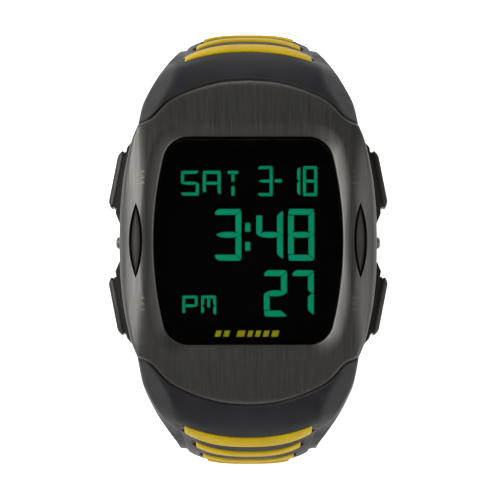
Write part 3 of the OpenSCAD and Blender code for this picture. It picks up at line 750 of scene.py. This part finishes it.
class Half:
    """One strap half, described by distance along its outer face from the bezel's end and by X."""

    def __init__(self, side, low_r, flat_from):
        self.side, self.low_r, self.flat_from = side, low_r, flat_from
        self.low = (HORIZON[0] - low_r, HORIZON[1])
        self.arc_x, self.arc_y = spline(BEZEL_END_ARC).T
        self.plan_x, self.plan_y = spline(HOOD_PLAN).T

    def profile(self, s):
        """Point and outward normal on the outer face's middle line."""
        a = START_A + np.minimum(s, S_HORIZON) / SHOULDER_R
        b = np.maximum(s - S_HORIZON, 0) / self.low_r
        above = s < S_HORIZON
        ny = np.where(above, np.sin(a), np.cos(b))
        nz = np.where(above, np.cos(a), -np.sin(b))
        y = np.where(above, SHOULDER_C[0] + SHOULDER_R * ny, self.low[0] + self.low_r * ny)
        z = np.where(above, SHOULDER_C[1] + SHOULDER_R * nz, self.low[1] + self.low_r * nz)
        return y, z, ny, nz

    def sweep(self, s, x):
        """How far a row of the grid is swept back towards the bezel at X."""
        x = np.abs(x)
        edge_y = np.interp(x, self.arc_x, self.arc_y) + 0.14
        a = np.arcsin(np.clip((edge_y - SHOULDER_C[0]) / SHOULDER_R, -1, 1))
        at_bezel = (START_A - a) * SHOULDER_R
        curved = x**2 / ROW_CURVE_R
        t = smooth_step(s / 8.0)
        return ((1 - t) * at_bezel + t * curved) * (1 - smooth_step((s - 25) / 10))

    def crown(self, s, x):
        """How far the outer face falls away at X, from its middle line."""
        depth = CROWN_DEPTH * smooth_step((s - 5) / 9) * (1 - 0.4 * smooth_step((s - 30) / 15))
        depth = depth * (1 - smooth_step((s - self.flat_from) / 7))
        return depth * np.minimum(np.abs(x) / STRAP_HALF, 1.1) ** CROWN_POWER

    def outer(self, s, x, up=0.0):
        """Points on the outer face, raised by up along the normal."""
        s, x = np.broadcast_arrays(np.asarray(s, float), np.asarray(x, float))
        y, z, ny, nz = self.profile(s - self.sweep(s, x))
        sink = MIDDLE_SINK * smooth_step((s - 5) / 9) * (1 - smooth_step((s - 28) / 8))
        up = up - SKIN_GAP - self.crown(s, x) - sink
        (fx, fy), (slope_x, slope_y) = FACET_AT, FACET_SLOPE
        facet = crown_z(fy) - slope_x * (np.abs(x) - fx) - slope_y * (y - fy)
        z = np.where(s < 15, smooth_min(z, facet, 0.25), z)
        return np.stack([x, y + ny * up, z + nz * up], -1)

    def half_width(self, s):
        """Half the width of the outer face."""
        w = np.full(np.shape(s), 12.0)
        for _ in range(25):
            y = self.profile(s - self.sweep(s, w))[0]
            w = 0.5 * w + 0.5 * np.interp(y, self.plan_y, self.plan_x)
        return np.where(s > S_HORIZON, STRAP_HALF - (s - S_HORIZON) / TAPER_RUN * (STRAP_HALF - TIP_HALF), w)

    def inner(self, s):
        """Point on the inner face's middle line."""
        y, z, ny, nz = self.profile(s)
        a = START_A + np.minimum(s, S_HORIZON) / SHOULDER_R
        off = HORIZON[0] - STRAP_T - INNER_R - SHOULDER_C[0]
        reach = off * np.sin(a) + np.sqrt(INNER_R**2 - (off * np.cos(a)) ** 2)
        yi = np.where(s < S_HORIZON, SHOULDER_C[0] + reach * np.sin(a), y - ny * STRAP_T)
        zi = np.where(s < S_HORIZON, SHOULDER_C[1] + reach * np.cos(a), z - nz * STRAP_T)
        start = 1 - smooth_step(s / 5)
        return yi + (NECK_Y - yi) * start, zi

    def inner_width(self, s):
        """Half the width of the inner face, which is wider than the outer one at the neck."""
        neck_half, collar_half, collar_run = 18.3, 11.6, 6
        yi = float(self.inner(np.array([s]))[0][0])
        if s <= S_HORIZON:
            return min(float(np.interp(yi, self.plan_y, self.plan_x)), neck_half)
        own = float(self.half_width(np.array([s]))[0])
        return own + (collar_half - own) * (1 - float(smooth_step((s - S_HORIZON) / collar_run)))

    def place(self, points):
        """Points on this half's side of the case."""
        return points * [1, self.side, 1]


def groove(s, x):
    """Depth of the groove that holds a stripe, fading out past the stripe's ends."""
    depth = np.zeros_like(x)
    for at, w, reach in STRIPES:
        across = 1 - smooth_step((abs(s - at) - w / 2 - GROOVE_SIDE) / GROOVE_LIP)
        along = 1 - smooth_step((np.abs(x) - reach - 0.1) / 0.5)
        depth = np.maximum(depth, GROOVE_DEPTH * across * along)
    return depth


def rows(end):
    """Distances of the loft's stations, close together where the grooves are."""
    s = [0.0, 0.08, 0.2, 0.4] + list(np.arange(0.8, 7.2, 0.5))
    for at, w, _ in STRIPES:
        edge = w / 2 + 0.32
        s += [at + side * (edge + d) for side in (-1, 1) for d in (-0.12, -0.04, 0.02, 0.08, 0.2)] + [at]
    s += list(np.arange(25, end, 1.0))
    return np.array(sorted(s))


def strap_skin(half, stations, widths):
    """The closed skin of a strap half, from the bezel's end to its tip."""
    u = np.sin(np.linspace(-1, 1, TOP_POINTS) * math.pi / 2)
    v = np.linspace(1, -1, LOW_POINTS)
    loops = []
    for s, w in zip(stations, np.maximum(widths, 0.05)):
        x = w * u
        r = min(0.6 - 0.25 * float(smooth_step((s - 6) / 8)), w * 0.9)
        over = np.clip(np.abs(x) - (w - r), 0, r)
        drop = r - np.sqrt(r**2 - over**2)
        start = 0.4 * (1 - smooth_step(s / 0.4))
        top = half.outer(s, x, -groove(s, x) - drop - start)
        yi, zi = half.inner(np.array([s]))
        wi = w + (half.inner_width(s) - w) * (s < S_HORIZON + 6)
        rise = 0.28 * np.abs(v) ** 14
        ny, nz = [q.item() for q in half.profile(np.array([s]))[2:]]
        bottom = np.stack([wi * v, yi[0] + ny * rise, zi[0] + nz * rise], -1)
        loops.append(closed_loop(top, bottom))
    return loops


def bridge(a, b):
    """The points of a loop's side, between its faces."""
    t = np.linspace(0, 1, SIDE_POINTS + 2)[1:-1, None]
    return a + (b - a) * t


def closed_loop(top, bottom):
    return np.vstack([top, bridge(top[-1], bottom[0]), bottom, bridge(bottom[-1], top[0])])


def under_plate(half, first):
    """Stations that carry the hood under the bezel's end plate to its back."""
    low = slice(TOP_POINTS + SIDE_POINTS, TOP_POINTS + SIDE_POINTS + LOW_POINTS)
    out = []
    for drop, yb, zb in ((2.0, 20.4, 1.9), (None, 19.6, 3.4)):
        loop = first.copy()
        top = loop[:TOP_POINTS]
        if drop:
            top[:, 2] -= drop
        else:
            top[:, 1] = np.minimum(top[:, 1] - 0.3, 19.5)
            top[:, 2] = np.minimum(8.1, top[:, 2] - 2.2)
        bottom = loop[low]
        bottom[:, 1], bottom[:, 2] = yb, zb
        loop[TOP_POINTS:low.start] = bridge(top[-1], bottom[0])
        loop[low.stop:] = bridge(bottom[-1], top[0])
        out.append(loop)
    return out


def prism_x(outline, x0, x1):
    """A Y and Z outline drawn out along X."""
    return loft([across_x(np.asarray(outline, float), x) for x in (x0, x1)])


def arc_yz(c, r, a0, a1, n):
    """Points along an arc in Y and Z."""
    a = np.radians(np.linspace(a0, a1, n))
    return [(c[0] + r * math.cos(t), c[1] + r * math.sin(t)) for t in a]


def lug_cutters(side):
    """Cuts the rooms for the case's two lugs, and the spring bar's bore between them."""
    r, open_y, bore_half = LUG_ROOM_R, 15.0, 13
    room = arc_yz(PIN, r, -90, 90, 20) + [(open_y, PIN[1] + r), (open_y, PIN[1] - r)]
    shapes = [prism_x(room, *sorted(s * x for x in LUG_ROOM_X)) for s in (-1, 1)]
    shapes.append(prism_x(arc_yz(PIN, BAR_BORE_R, 0, 342, 20), -bore_half, bore_half))
    return [(v * [1, side, 1], f) for v, f in shapes]


def stripes(half, half_name):
    """Raised yellow bars that follow the outer face, rounded off towards their ends."""
    end_run, least_end = 0.45, 0.12
    a = np.linspace(0, 2 * math.pi, 20, endpoint=False)
    c, t = np.cos(a), np.sin(a)
    shapes = []
    for at, w, reach in STRIPES:
        loops = []
        for x in reach * np.sin(np.linspace(-1, 1, 41) * math.pi / 2):
            over = min(max(abs(x) - (reach - end_run), 0) / end_run, 1)
            end = max((1 - over**4) ** 0.25, least_end)
            h = w / 2 * (1 + 0.25 * (x / reach) ** 2) * end
            q = h * np.sign(c) * np.abs(c) ** 0.6
            up = -0.12 + 0.43 * np.sign(t) * np.abs(t) ** 0.7 * end
            loops.append(half.place(half.outer(at + q, x, up)))
        shapes.append(loft(loops))
    body, stands_for = f"strap_{half_name}", [f"stripes_{half_name}"]
    put(f"bars_{half_name}", *joined(*shapes), body, "stripe_yellow", stands_for)


BUCKLE_A = math.radians(75)
BUCKLE_R = 30.0
TAIL_R = 53.0
TAIL_A = math.radians(100)
BUCKLE_LOW = (HORIZON[0] - BUCKLE_R, HORIZON[1])
BUCKLE_AT = (BUCKLE_LOW[0] + (BUCKLE_R - STRAP_T / 2) * math.cos(BUCKLE_A),
             BUCKLE_LOW[1] - (BUCKLE_R - STRAP_T / 2) * math.sin(BUCKLE_A))
BUCKLE_TILT = math.radians(270) - BUCKLE_A


def at_buckle(v):
    """From the buckle's own frame, +Y on along the strap and +Z away from the wrist, to the row frame."""
    v = np.asarray(v, float)
    c, s = math.cos(BUCKLE_TILT), math.sin(BUCKLE_TILT)
    y = BUCKLE_AT[0] + v[:, 1] * c - v[:, 2] * s
    z = BUCKLE_AT[1] + v[:, 1] * s + v[:, 2] * c
    return np.column_stack([v[:, 0], y, z])


def pivot_bore(half_l):
    """Cuts the buckle bar's bore."""
    v, f = prism_x(circle(PIVOT_BORE_R, 24), -half_l, half_l)
    return at_buckle(v), f


def buckle_half():
    """The short half, which ends in a knuckle round the buckle bar with a slot for the tang."""
    neck_run, flat_run = 2.5, 8
    end = S_HORIZON + BUCKLE_R * BUCKLE_A - neck_run
    half = Half(1, BUCKLE_R, end - flat_run)
    stations = rows(end)
    widths = half.half_width(stations)
    loops = strap_skin(half, stations, widths)
    u, v = loops[0][:TOP_POINTS, 0] / widths[0], np.linspace(1, -1, LOW_POINTS)
    w = TIP_HALF + 0.1
    for a in np.radians([150, 135, 120, 105, 90, 75, 60, 45, 30, 15, 4]):
        along, h = KNUCKLE_R * math.cos(a), KNUCKLE_R * math.sin(a)
        if a > math.pi / 2:
            along, h = along * 1.2, STRAP_T / 2 + 0.5 * math.sin(math.pi - a) ** 2
        top = np.column_stack([w * u, np.full(len(u), along), np.full(len(u), h)])
        bottom = np.column_stack([w * v, np.full(len(v), along), np.full(len(v), -h)])
        loops.append(at_buckle(closed_loop(top, bottom)))
    loops = under_plate(half, loops[0])[::-1] + loops
    slot = np.array([(-1.7, -4.7), (1.7, -4.7), (1.7, 4), (-1.7, 4)])
    v, f = loft([lift(slot, z) for z in (-4, 4)])
    put("strap_buckle_side", *loft(loops), "strap_buckle_half", "strap_resin", ["strap_buckle_half"],
        cutters=[(at_buckle(v), f), pivot_bore(14)] + lug_cutters(1))
    stripes(half, "buckle_half")


def tail_half():
    """The long half, with a round tip and a row of flared holes."""
    hole_pitch, hole_count, last_hole_a, hole_r, flare_r = 5.6, 9, math.radians(16), 1.15, 1.9
    tip_rows = 14
    end = S_HORIZON + TAIL_R * TAIL_A
    half = Half(-1, TAIL_R, end)
    stations = rows(end - TIP_HALF)
    tip = end - TIP_HALF + TIP_HALF * np.sin(np.linspace(0, 1, tip_rows) * math.pi / 2)
    tip_widths = TIP_HALF * np.cos(np.linspace(0, 0.985, tip_rows) * math.pi / 2)
    widths = np.concatenate([half.half_width(stations), tip_widths])
    loops = strap_skin(half, np.concatenate([stations, tip]), widths)
    loops = [half.place(p) for p in under_plate(half, loops[0])[::-1] + loops]
    levels = ((1.0, flare_r), (0.02, 1.32), (-0.2, hole_r), (-STRAP_T + 0.2, hole_r), (-STRAP_T - 0.02, 1.3),
              (-STRAP_T - 1, flare_r))
    cutters = []
    for k in range(hole_count):
        s = S_HORIZON + TAIL_R * (TAIL_A - last_hole_a - k * (hole_pitch / TAIL_R))
        y, z, ny, nz = [q.item() for q in half.profile(np.array([s]))]
        rings = []
        for up, r in levels:
            c = circle(r, 24)
            ring = np.column_stack([c[:, 0], y + ny * up - nz * c[:, 1], z + nz * up + ny * c[:, 1]])
            rings.append(half.place(ring))
        cutters.append(loft(rings))
    put("strap_tail_side", *loft(loops), "strap_tail_half", "strap_resin", ["strap_tail_half"],
        cutters=cutters + lug_cutters(-1))
    stripes(half, "tail_half")


def keeper():
    """A soft loop round both layers of the strap, with two raised ribs."""
    low, high = math.radians(33), math.radians(43)
    wall = 0.8
    middle, half_h, half_w = BUCKLE_R + 0.15, 3.45 + wall, 10.5 + wall
    path = rounded_rect(half_w, half_h, 1.9, 8)
    tangent = np.roll(path, -1, 0) - np.roll(path, 1, 0)
    normal = np.stack([tangent[:, 1], -tangent[:, 0]], 1) / np.hypot(*tangent.T)[:, None]
    section = [(-1.0, -0.55), (-0.92, -0.8), (0.92, -0.8), (1.0, -0.55), (1.0, 0.5), (0.9, 0.78),
               (0.55, 0.8), (0.45, 0.6), (0.28, 0.6), (0.18, 0.8), (-0.18, 0.8), (-0.28, 0.6),
               (-0.45, 0.6), (-0.55, 0.8), (-0.9, 0.78), (-1.0, 0.5)]
    loops = []
    for p, d in zip(path, normal):
        q = np.array([p + d * t for _, t in section])
        a = (low + high) / 2 + (high - low) / 2 * np.array([m for m, _ in section])
        rho = middle + q[:, 1]
        y, z = BUCKLE_LOW[0] + rho * np.cos(a), BUCKLE_LOW[1] - rho * np.sin(a)
        loops.append(np.column_stack([q[:, 0], y, z]))
    put("keeper_band", *torus(loops), "keeper", "strap_resin", ["keeper_loop"], sharp=40)


def tube(p, half_x, half_z):
    """A bar swept along a path in the buckle's own XY plane, with an oval section."""
    t = np.gradient(p, axis=0)
    t /= np.hypot(*t.T)[:, None]
    side = np.stack([t[:, 1], -t[:, 0]], 1)
    a = np.linspace(0, 2 * math.pi, 20, endpoint=False)
    c, s = [np.sign(q) * np.abs(q) ** 0.6 for q in (np.cos(a), np.sin(a))]
    loops = []
    for (x, y), (dx, dy), hx, hz in zip(p, side, half_x, half_z):
        loops.append(np.column_stack([x + dx * hx * c, y + dy * hx * c, hz * s]))
    return loops


def buckle():
    """A round-cornered frame whose ends turn on the buckle bar."""
    reach, cheek, corner = 12.5, 10.65, 2.2
    a = np.radians(np.linspace(180, 90, 10))
    left = [(-cheek, y) for y in np.linspace(1.2, reach - corner, 8)]
    bend = [(-cheek + corner + corner * math.cos(t), reach - corner + corner * math.sin(t)) for t in a[1:]]
    across = [(x, reach) for x in np.linspace(-cheek + corner, 0, 6)[1:]]
    path = np.array(left + bend + across)
    path = np.vstack([path, path[::-1][1:] * [-1, 1]])
    blend = smooth_step((path[:, 1] - 9.5) / 3)
    shapes = [loft(tube(path, 1.0 + 0.15 * blend, 0.98 + 0.17 * blend))]
    eye = [(9.66, 1.75), (9.75, 1.95), (9.9, 2.0), (11.4, 2.0), (11.6, 1.9), (11.7, 1.65), (11.7, 1.0),
           (11.6, 0.9)]
    for s in (-1, 1):
        shapes.append(loft([across_x(circle(r), s * x) for x, r in eye]))
    v, f = joined(*shapes)
    put("buckle_ring", at_buckle(v), f, "buckle_frame", "buckle_metal", ["buckle_frame"])


def tang():
    """A tapered tongue that rests on the buckle's front bar."""
    line = [(0.0, -1.25, 1.4, 1.3), (2.2, -0.5, 1.75, 1.2), (5.0, 0.0, 2.05, 1.12), (8.0, 0.62, 2.25, 1.05),
            (10.9, 1.2, 2.4, 0.98), (12.5, 1.2, 2.42, 0.9), (13.4, 1.22, 2.32, 0.75), (13.85, 1.4, 2.0, 0.5)]
    loops = []
    for y, low, high, w in line:
        o = rounded_rect(w, (high - low) / 2, min(0.35, (high - low) * 0.3), 5)
        loops.append(np.column_stack([o[:, 0], np.full(len(o), y), o[:, 1] + (low + high) / 2]))
    rings = ((-1.45, 1.25), (-1.3, 1.45), (1.3, 1.45), (1.45, 1.25))
    bore = [pivot_bore(3)]
    v, f = loft(loops)
    put("tang_tongue", at_buckle(v), f, "buckle_tang", "pin_steel", cutters=bore)
    v, f = loft([across_x(circle(r, 28), x) for x, r in rings])
    put("tang_eye", at_buckle(v), f, "buckle_tang", "pin_steel", ["buckle_tang"], cutters=bore)


# ---- Case back ----

def case_back():
    """The plate under the case, with a stepped edge, two shallow round grooves and four screw holes."""
    edge = [(0.0, 1.0), (0.0, 0.3), (0.12, 0.12), (0.35, 0.0), (1.1, 0.0), (1.15, 0.12), (1.4, 0.12),
            (1.45, 0.0)]
    grooves = ((12.0, 0.0), (11.9, 0.1), (11.5, 0.1), (11.4, 0.0),
               (10.9, 0.0), (10.85, 0.06), (10.5, 0.06), (10.45, 0.0))
    bx, by = BACK_HALF
    loops = [lift(rounded_rect(bx - g, by - g, BACK_CORNER_R - g, 12), z) for g, z in edge]
    angle = np.arctan2(loops[0][:, 1], loops[0][:, 0])
    loops += [lift(np.stack([r * np.cos(angle), r * np.sin(angle)], 1), z) for r, z in grooves]
    holes = []
    for sx in (-1, 1):
        for sy in (-1, 1):
            for r, low, high in ((1.02, -1, 0.5), (0.6, 0.4, 2)):
                c = circle(r, 24) + [sx * BACK_SCREW[0], sy * BACK_SCREW[1]]
                holes.append(loft([lift(c, low), lift(c, high)]))
    put("back_plate", *loft(loops), "case", "back_steel", ["case_back"], cutters=holes, sharp=25)


# ---- CAD nodes that are kept ----

def keep_nodes():
    """Finishes the CAD nodes that still show."""
    slots = {p["node"]: p["material_slot"] for p in frame["record"]["subparts"]}
    soft_edges = {"case_body": 0.22, "case_back_screws": 0.06, "buckle_bar": 0.1, "module_frame": 0.1}
    for name, obj in NODES.items():
        if obj.hide_render:
            continue
        obj.data.materials.clear()
        obj.data.materials.append(MATERIALS[slots[name]])
        if name in soft_edges:
            obj.modifiers.new("joined_faces", "WELD").merge_threshold = 1e-6
            bevel = obj.modifiers.new("soft_edges", "BEVEL")
            bevel.width = soft_edges[name] * MM
            bevel.segments = 3
            bevel.limit_method = "ANGLE"
            bevel.angle_limit = math.radians(35)
            bevel.harden_normals = True


# ---- Stage, lights and camera ----

def stage():
    """A white floor just under the part."""
    size, low = 1.2, CAD_BOX[0][2] - 0.0005
    bm = bmesh.new()
    bmesh.ops.create_grid(bm, x_segments=4, y_segments=4, size=size)
    mesh = bpy.data.meshes.new("floor")
    bm.to_mesh(mesh)
    bm.free()
    floor = add_object("floor", mesh)
    floor.location.z = low
    s = Shader("floor_paint")
    s.colour(s.mix(s.noise(0.02), srgb("#f6f6f5"), srgb("#f9f9f8")))
    s.bsdf.inputs["Roughness"].default_value = 0.8
    s.bsdf.inputs["Emission Color"].default_value = (1, 1, 1, 1)
    s.bsdf.inputs["Emission Strength"].default_value = 0.75
    mesh.materials.append(s.mat)


def soft_light(name, at, size, power):
    """An area light aimed at the middle of the part."""
    data = bpy.data.lights.new(name, "AREA")
    data.shape, data.size, data.size_y, data.energy = "RECTANGLE", *size, power
    light = add_object(name, data)
    light.location = at
    light.rotation_euler = (-Vector(at)).to_track_quat("-Z", "Y").to_euler()


def world():
    """A plain studio: bright to the left and right, dim overhead and at both ends of the strap."""
    made = bpy.data.worlds.new("studio")
    bpy.context.scene.world = made
    made.use_nodes = True
    new, link = made.node_tree.nodes.new, made.node_tree.links.new
    back = made.node_tree.nodes["Background"]
    coord = new("ShaderNodeTexCoord")
    split = new("ShaderNodeSeparateXYZ")
    link(coord.outputs["Generated"], split.inputs[0])
    levels = new("ShaderNodeMath")
    levels.operation = "MULTIPLY"
    across = ((-1.0, 0.25), (-0.87, 0.65), (-0.56, 0.52), (-0.3, 0.27), (-0.1, 0.18),
              (0.12, 0.18), (0.3, 0.32), (0.56, 0.75), (0.87, 1.0), (1.0, 0.4))
    along = ((-1.0, 0.8), (-0.7, 1.0), (-0.3, 0.9), (-0.05, 0.8), (0.12, 0.42), (0.3, 0.05), (0.45, 0.1),
             (0.65, 0.6), (0.85, 1.0), (1.0, 0.7))
    for i, (axis, stops) in enumerate((("X", across), ("Y", along))):
        curve = new("ShaderNodeFloatCurve")
        points = curve.mapping.curves[0].points
        curve.mapping.extend = "HORIZONTAL"
        while len(points) < len(stops):
            points.new(0.5, 0.5)
        for point, (at, level) in zip(points, stops):
            point.location = ((at + 1) / 2, level)
        curve.mapping.update()
        spread = new("ShaderNodeMapRange")
        spread.inputs["From Min"].default_value = -1.0
        link(split.outputs[axis], spread.inputs["Value"])
        link(spread.outputs["Result"], curve.inputs["Value"])
        link(curve.outputs["Value"], levels.inputs[i])
    link(levels.outputs["Value"], back.inputs["Color"])
    back.inputs["Strength"].default_value = 1.35


def camera():
    """The photograph's viewing angle: nearly straight down, a little from the 6 o'clock side."""
    data = bpy.data.cameras.new("camera")
    cam = add_object("camera", data)
    distance, frame_w = 0.75, 0.0833
    data.sensor_width, data.lens = 36.0, 36.0 * distance / frame_w
    target = Vector((0.0003, -0.0015, 0.0102))
    elevation = math.radians(86)
    cam.location = target + distance * Vector((0, -math.cos(elevation), math.sin(elevation)))
    cam.rotation_euler = (math.pi / 2 - elevation, 0, 0)
    data.clip_start, data.clip_end = 0.01, 10.0
    bpy.context.scene.camera = cam


bezel()
inserts()
side_screws()
lens()
mask()
display()
for corner in CORNERS:
    pusher_cap(*corner)
    pusher_coil(*corner)
buckle_half()
tail_half()
keeper()
buckle()
tang()
case_back()
keep_nodes()
stage()
world()
soft_light("key_left", (-0.5, 0.2, 0.5), (0.5, 0.6), 4.0)
soft_light("fill_right", (0.6, -0.1, 0.5), (0.5, 0.5), 0.6)
camera()
bpy.context.scene.view_settings.view_transform = "Standard"
